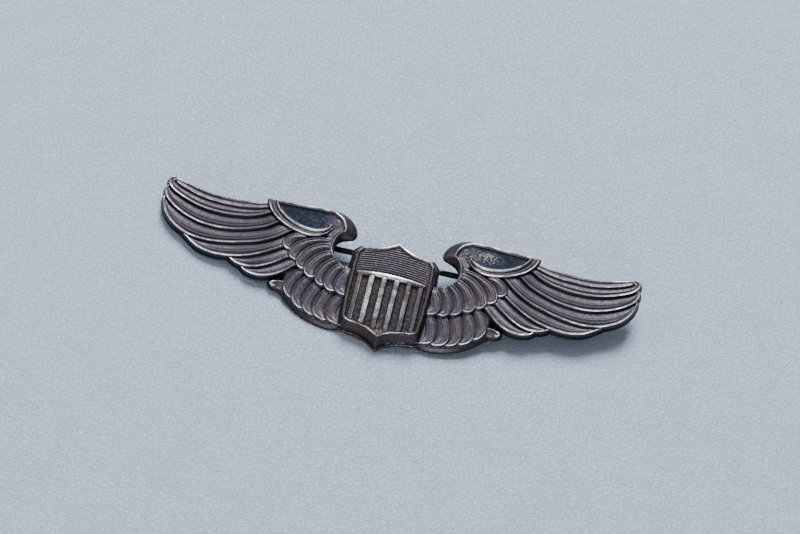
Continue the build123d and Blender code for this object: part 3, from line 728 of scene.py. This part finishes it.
def relief_mesh(name, relief, side, back):
    """A closed mesh of a relief: its face, a short upright edge and a plain back.

    The outermost grid points are pulled onto the outline. A side of -1 gives the mirror image.
    """
    x, y, gap = relief.x.copy(), relief.y.copy(), relief.inside_by
    gy, gx = np.gradient(gap, relief.ys, relief.xs)
    size = np.hypot(gx, gy) + 1e-9
    held = gap > 0
    cells = held[:-1, :-1] | held[1:, :-1] | held[:-1, 1:] | held[1:, 1:]
    used = np.zeros(gap.shape, bool)
    for rows in (slice(None, -1), slice(1, None)):
        for columns in (slice(None, -1), slice(1, None)):
            used[rows, columns] |= cells
    snap = used & ~held
    x[snap] -= (gap * gx / size)[snap]
    y[snap] -= (gap * gy / size)[snap]
    x[:, 0] = relief.xs[0]
    z = np.where(snap, back + EDGE_HEIGHT, relief.height)

    number = np.full(gap.shape, -1)
    number[used] = np.arange(used.sum())
    front = np.column_stack([x[used], y[used], z[used]])
    rows, columns = np.nonzero(cells)
    corners = [number[rows, columns], number[rows, columns + 1]]
    corners += [number[rows + 1, columns + 1], number[rows + 1, columns]]
    quads = np.column_stack(corners)

    count = len(front)
    border, ring = border_of(quads, count)
    ring_number = np.full(count, -1)
    ring_number[ring] = np.arange(len(ring))
    edge_faces = np.column_stack(
        [border[:, 1], border[:, 0], count + ring_number[border[:, 0]], count + ring_number[border[:, 1]]]
    )
    extra, triangles = plain_back(relief, front[ring, :2], ring_number[border])
    ring_points = np.column_stack([front[ring, :2], np.full(len(ring), back)])
    back_points = np.column_stack([extra, np.full(len(extra), back)])
    points = np.vstack([front, ring_points, back_points])
    points[:, 2] += bow(points[:, 0])
    points[:, 0] *= side

    faces = [quads, edge_faces, triangles + count]
    if side < 0:
        faces = [group[:, ::-1] for group in faces]
    starts = np.cumsum([0] + [group.shape[1] for group in faces for _ in group])[:-1]
    sizes = [group.shape[1] for group in faces for _ in group]
    mesh = bpy.data.meshes.new(name)
    mesh.vertices.add(len(points))
    mesh.vertices.foreach_set("co", (points * MM).astype(np.float32).ravel())
    mesh.loops.add(sum(sizes))
    mesh.loops.foreach_set("vertex_index", np.concatenate([g.ravel() for g in faces]).astype(np.int32))
    mesh.polygons.add(len(sizes))
    mesh.polygons.foreach_set("loop_start", starts.astype(np.int32))
    mesh.polygons.foreach_set("loop_total", np.array(sizes, np.int32))
    mesh.update(calc_edges=True)
    mesh.validate()
    mesh.polygons.foreach_set("use_smooth", np.ones(len(mesh.polygons), bool))
    ends = np.zeros(len(mesh.edges) * 2, np.int32)
    mesh.edges.foreach_get("vertices", ends)
    ends = ends.reshape(-1, 2)
    on_ring = np.isin(ends, ring).all(1) | ((ends >= count) & (ends < count + len(ring))).all(1)
    mesh.attributes.new("sharp_edge", "BOOLEAN", "EDGE").data.foreach_set("value", on_ring)
    # The hollow mask carries the patina of the hollows and painted shade; the bare-metal mask carries
    # bared metal and painted highlights
    for label, field, on_back in (
        ("hollow", relief.hollow_patina_and_shade(), 0.1), ("bare_and_sheen", relief.bare_and_sheen, 0.1),
        ("smoothness", relief.smoothness, 0.0), ("soil", relief.soil * (1.0 if side > 0 else 0.4), 0.0),
    ):
        values = np.full(len(points), on_back, np.float32)
        values[:count] = field[used]
        mesh.attributes.new(label, "FLOAT", "POINT").data.foreach_set("value", values)
    piece = bpy.data.objects.new(name, mesh)
    bpy.context.scene.collection.objects.link(piece)
    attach(piece, "badge")
    return piece


# ---------------------------------------------------------------------------------------------
# Materials
# ---------------------------------------------------------------------------------------------


class Nodes:
    """Short calls for the shader nodes of one material."""

    def __init__(self, name):
        self.material = bpy.data.materials.new(name)
        self.material.use_nodes = True
        self.tree = self.material.node_tree
        self.shader = self.tree.nodes["Principled BSDF"]
        self.place = self.tree.nodes.new("ShaderNodeTexCoord").outputs["Object"]

    def link(self, target, value):
        """Links an output to a socket, or sets the socket where the value is a number or a colour."""
        if isinstance(value, bpy.types.NodeSocket):
            self.tree.links.new(value, target)
        elif isinstance(value, tuple) and len(value) == 3:
            target.default_value = (*value, 1.0)
        else:
            target.default_value = value

    def attribute(self, name):
        """A value that the mesh carries at its points."""
        node = self.tree.nodes.new("ShaderNodeAttribute")
        node.attribute_name = name
        return node.outputs["Fac"]

    def noise(self, feature, detail=3.0, stretch=(1, 1, 1), roughness=0.55):
        """Noise whose features are about this many millimetres across."""
        mapping = self.tree.nodes.new("ShaderNodeMapping")
        mapping.inputs["Scale"].default_value = stretch
        self.link(mapping.inputs["Vector"], self.place)
        node = self.tree.nodes.new("ShaderNodeTexNoise")
        self.link(node.inputs["Vector"], mapping.outputs["Vector"])
        self.link(node.inputs["Scale"], 1 / (feature * MM))
        self.link(node.inputs["Detail"], detail)
        self.link(node.inputs["Roughness"], roughness)
        return node.outputs["Fac"]

    def cells(self, feature, distortion=None):
        """Distance to the edges of cells about this many millimetres across."""
        node = self.tree.nodes.new("ShaderNodeTexVoronoi")
        node.feature = "DISTANCE_TO_EDGE"
        self.link(node.inputs["Vector"], distortion or self.place)
        self.link(node.inputs["Scale"], 1 / (feature * MM))
        return node.outputs["Distance"]

    def ranged(self, value, low, high, to_low=0.0, to_high=1.0):
        """The value's run from low to high, turned smoothly into one from to_low to to_high."""
        node = self.tree.nodes.new("ShaderNodeMapRange")
        node.interpolation_type = "SMOOTHSTEP"
        for socket, number in zip(node.inputs[:5], (value, low, high, to_low, to_high)):
            self.link(socket, number)
        return node.outputs["Result"]

    def math(self, operation, a, b):
        """One operation on two values."""
        node = self.tree.nodes.new("ShaderNodeMath")
        node.operation = operation
        self.link(node.inputs[0], a)
        self.link(node.inputs[1], b)
        return node.outputs["Value"]

    def mix(self, factor, a, b):
        """A colour between a, where the factor is 0, and b, where it is 1."""
        node = self.tree.nodes.new("ShaderNodeMix")
        node.data_type = "RGBA"
        self.link(node.inputs["Factor"], factor)
        self.link(node.inputs["A"], a)
        self.link(node.inputs["B"], b)
        return node.outputs["Result"]

    def bump(self, height, strength, depth, before=None):
        """A bump this many millimetres deep."""
        node = self.tree.nodes.new("ShaderNodeBump")
        self.link(node.inputs["Height"], height)
        self.link(node.inputs["Strength"], strength)
        self.link(node.inputs["Distance"], depth * MM)
        if before is not None:
            self.link(node.inputs["Normal"], before)
        return node.outputs["Normal"]


def oxidised_silver(name, warm, cool, bright):
    """Silver with a dark uneven patina, darkest in its hollows and bared bright by rubbing on its ridges.
    The hollow mask also carries painted shade, and the bare-metal mask painted highlights.
    """
    n = Nodes(name)
    clouds, grains, specks = n.noise(3.2), n.noise(0.55, 4.0), n.noise(0.16, 3.0, roughness=0.7)
    hollow, bare_and_sheen, field = n.attribute("hollow"), n.attribute("bare_and_sheen"), n.attribute("smoothness")
    body = n.mix(n.ranged(clouds, 0.38, 0.62), warm, cool)
    body = n.mix(n.ranged(grains, 0.58, 0.75, 0.0, 0.5), body, BROWN_TARNISH)
    body = n.mix(n.ranged(n.noise(1.4), 0.60, 0.72, 0.0, 0.5), body, BLUE_TARNISH)
    body = n.mix(n.ranged(specks, 0.52, 0.72, 0.0, 0.7), body, PALE_SPECKS)
    body = n.mix(n.ranged(specks, 0.5, 0.33, 0.0, 0.75), body, DARK_SPECKS)
    polished = n.math("MULTIPLY", field, n.ranged(grains, 0.42, 0.7, 1.0, 0.75))
    body = n.mix(polished, body, BLUED_SILVER)
    crumbs = n.ranged(n.noise(0.35, 4.0, roughness=0.75), 0.42, 0.62)
    dirt = n.math("MULTIPLY", n.attribute("soil"), crumbs)
    # Patina in the hollows, and painted shade where the wings' outer feathers are darkened
    body = n.mix(n.ranged(hollow, 0.06, 1.0), body, HOLLOW_AND_SHADE_SILVER)
    # Bright bare metal, partly painted highlight: on the shield's left bars, its lower seam and towards
    # the long feathers' tips
    bare_metal_and_sheen = n.math("MULTIPLY", bare_and_sheen, n.ranged(specks, 0.3, 0.5, 0.55, 1.15))
    bare_metal_and_sheen = n.math("MULTIPLY", bare_metal_and_sheen, n.ranged(n.noise(1.8), 0.36, 0.62, 0.42, 1.05))
    bare_metal_and_sheen = n.ranged(bare_metal_and_sheen, 0.08, 1.0)
    body = n.mix(n.ranged(dirt, 0.15, 0.8, 0.0, 0.75), body, DRIED_DIRT)
    n.link(n.shader.inputs["Base Color"], n.mix(bare_metal_and_sheen, body, bright))
    n.link(n.shader.inputs["Metallic"], n.ranged(dirt, 0.15, 0.8, 1.0, 0.3))
    rough = n.ranged(grains, 0.3, 0.7, 0.34, 0.52)
    rough = n.math("MULTIPLY", rough, n.ranged(bare_metal_and_sheen, 0.0, 1.0, 1.0, 0.75))
    n.link(n.shader.inputs["Roughness"], rough)
    fine = n.bump(specks, 0.5, 0.02)
    n.link(n.shader.inputs["Normal"], n.bump(grains, 0.4, 0.05, fine))
    return n.material


def worn_metal(name, dark, light, rough, feature=0.5):
    """Plain metal of a finding: dull, patchy and finely scratched."""
    n = Nodes(name)
    patches, grain = n.noise(1.3), n.noise(feature * 0.4, 4.0)
    scratches = n.noise(0.12, 2.0, stretch=(0.12, 1.0, 1.0))
    colour = n.mix(n.ranged(patches, 0.35, 0.65), dark, light)
    colour = n.mix(n.ranged(grain, 0.58, 0.75, 0.0, 0.6), colour, tuple(0.3 * part for part in dark))
    colour = n.mix(n.ranged(scratches, 0.62, 0.7, 0.0, 0.35), colour, tuple(1.5 * part for part in light))
    n.link(n.shader.inputs["Base Color"], colour)
    n.shader.inputs["Metallic"].default_value = 1.0
    n.link(n.shader.inputs["Roughness"], n.ranged(patches, 0.3, 0.7, rough, rough + 0.18))
    n.link(n.shader.inputs["Normal"], n.bump(grain, 0.4, 0.02, n.bump(scratches, 0.3, 0.01)))
    return n.material


def leather(name):
    """Pale leather with a fine soft grain and painted shade in its creases."""
    n = Nodes(name)
    drift, grain = n.noise(9.0), n.noise(1.1, 4.0)
    shifted = n.tree.nodes.new("ShaderNodeVectorMath")
    shifted.operation = "MULTIPLY_ADD"
    noise = n.tree.nodes.new("ShaderNodeTexNoise")
    n.link(noise.inputs["Scale"], 1 / (2.5 * MM))
    n.link(noise.inputs["Vector"], n.place)
    n.link(shifted.inputs[0], noise.outputs["Color"])
    shifted.inputs[1].default_value = (0.9 * MM, 0.9 * MM, 0.9 * MM)
    n.link(shifted.inputs[2], n.place)
    creases, pores = n.cells(0.95, shifted.outputs["Vector"]), n.cells(0.5, shifted.outputs["Vector"])
    colour = n.mix(n.ranged(drift, 0.3, 0.7), LEATHER_DARK, LEATHER_LIGHT)
    # Painted shade: the creases are darkened in colour as well as bumped
    colour = n.mix(n.ranged(creases, 0.0, 0.12, 0.3, 0.0), colour, PAINTED_CREASE_SHADE)
    n.link(n.shader.inputs["Base Color"], colour)
    n.shader.inputs["Roughness"].default_value = 0.5
    rolling = n.bump(grain, 0.5, 0.2)
    fine = n.bump(n.ranged(pores, -0.03, 0.17), 0.7, 0.06, rolling)
    n.link(n.shader.inputs["Normal"], n.bump(n.ranged(creases, -0.03, 0.16), 0.6, 0.08, fine))
    return n.material


# ---------------------------------------------------------------------------------------------
# Pieces
# ---------------------------------------------------------------------------------------------


def make_badge():
    """The struck pieces: both wings, the seat and the shield."""
    wing_silver = oxidised_silver("wing_silver", WING_BROWN, WING_BLUE, WING_BRIGHT)
    shield_silver = oxidised_silver("shield_silver", SHIELD_BROWN, SHIELD_BLUE, SHIELD_BRIGHT)
    wing = build_wing()
    for side, name in ((1, "right_wing"), (-1, "left_wing")):
        piece = relief_mesh(name, wing, side, 0.0)
        piece.data.materials.append(wing_silver)
        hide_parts("wing_plate")
    seat = relief_mesh("shield_seat", build_seat(), 1, 0.02)
    seat.data.materials.append(wing_silver)
    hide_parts("wing_plate")
    shield = relief_mesh("striped_shield", build_shield(), 1, SEAT_HEIGHT - 0.03)
    shield.data.materials.append(shield_silver)
    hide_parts("shield")


def finish_findings():
    """Materials and softened edges for the hinge, the pin and the catch."""
    nickel = worn_metal("nickel_silver", (0.15, 0.14, 0.135), (0.30, 0.285, 0.27), 0.34)
    rivet = worn_metal("rivet_metal", (0.22, 0.21, 0.20), (0.40, 0.38, 0.36), 0.3)
    rotor = worn_metal("rotor_metal", (0.20, 0.185, 0.17), (0.42, 0.39, 0.35), 0.3)
    # Painted shade: the pin's steel is coloured nearly black, for the shade it lies in under the badge
    steel = worn_metal("steel_darkened_for_shade", (0.018, 0.018, 0.021), (0.05, 0.05, 0.056), 0.28)
    solder = worn_metal("solder", (0.20, 0.20, 0.20), (0.34, 0.34, 0.33), 0.48, 0.9)
    looks = {
        "hinge_bracket": nickel, "pin_head": nickel, "catch_housing": nickel, "hinge_rivet": rivet,
        "catch_rotor": rotor, "pin_needle": steel, "hinge_solder": solder, "catch_solder": solder,
    }
    for node, material in looks.items():
        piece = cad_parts[node]
        piece.data.materials.clear()
        piece.data.materials.append(material)
        if node != "pin_needle":
            bevel = piece.modifiers.new("softened_edges", "BEVEL")
            bevel.width = BEVEL_WIDTH * MM
            bevel.segments = 2
            bevel.limit_method = "ANGLE"
            bevel.angle_limit = math.radians(BEVEL_ANGLE)
            bevel.harden_normals = True


# ---------------------------------------------------------------------------------------------
# Camera, floor and light
# ---------------------------------------------------------------------------------------------


def make_camera():
    """The camera, turned as the view needs."""
    azimuth, elevation = math.radians(CAMERA_AZIMUTH), math.radians(CAMERA_ELEVATION)
    roll = math.radians(CAMERA_ROLL)
    outward = math.cos(elevation)
    away = Vector((math.sin(azimuth) * outward, -math.cos(azimuth) * outward, math.sin(elevation)))
    level = (-away).cross(Vector((0, 0, 1))).normalized()
    down = (-away).cross(level)
    right = math.cos(roll) * level + math.sin(roll) * down
    up = math.sin(roll) * level - math.cos(roll) * down
    data = bpy.data.cameras.new("camera")
    data.lens = CAMERA_LENS
    data.sensor_width = 36.0
    data.clip_start = 0.01
    eye = bpy.data.objects.new("camera", data)
    bpy.context.scene.collection.objects.link(eye)
    place = Matrix.Identity(4)
    stand = (Vector(CAMERA_TARGET) + CAMERA_DISTANCE * away) * MM
    for column, vector in enumerate((right, up, away, stand)):
        place.col[column][:3] = vector
    eye.matrix_world = place
    bpy.context.scene.camera = eye


def make_floor():
    """The surface that the badge lies on, resting on its catch, its hinge and the shield's lower edge."""
    catch_low, catch_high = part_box("catch_rotor")
    hinge_low, hinge_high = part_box("hinge_bracket")
    catch_foot = Vector(((catch_low[0] + catch_high[0]) / 2, catch_low[1], catch_low[2]))
    hinge_middle = [(low + high) / 2 for low, high in zip(hinge_low, hinge_high)]
    hinge_foot = Vector((*hinge_middle[:2], hinge_low[2]))
    shield_foot = Vector((0, cad_low[1], 0))
    up = (hinge_foot - shield_foot).cross(catch_foot - shield_foot).normalized()
    if up.z < 0:
        up = -up
    bpy.ops.mesh.primitive_plane_add(size=FLOOR_SIZE, location=shield_foot - up * FLOOR_GAP * MM)
    floor = bpy.context.object
    floor.name = "floor"
    floor.rotation_mode = "QUATERNION"
    floor.rotation_quaternion = up.to_track_quat("Z", "Y")
    floor.data.materials.append(leather("pale_leather"))


def make_light(name, place, size, power, colour):
    """A soft square lamp that looks at the badge."""
    data = bpy.data.lights.new(name, "AREA")
    data.size = size
    data.energy = power
    data.color = colour
    lamp = bpy.data.objects.new(name, data)
    lamp.location = place
    lamp.rotation_mode = "QUATERNION"
    lamp.rotation_quaternion = Vector(place).to_track_quat("Z", "Y")
    bpy.context.scene.collection.objects.link(lamp)


def make_studio():
    """The faint sky and the lamps."""
    world = bpy.data.worlds.new("studio")
    bpy.context.scene.world = world
    world.use_nodes = True
    sky = world.node_tree.nodes["Background"]
    sky.inputs["Color"].default_value = SKY_COLOUR
    sky.inputs["Strength"].default_value = SKY_STRENGTH
    for lamp in LAMPS:
        make_light(*lamp)


make_camera()
make_floor()
make_studio()
make_badge()
finish_findings()
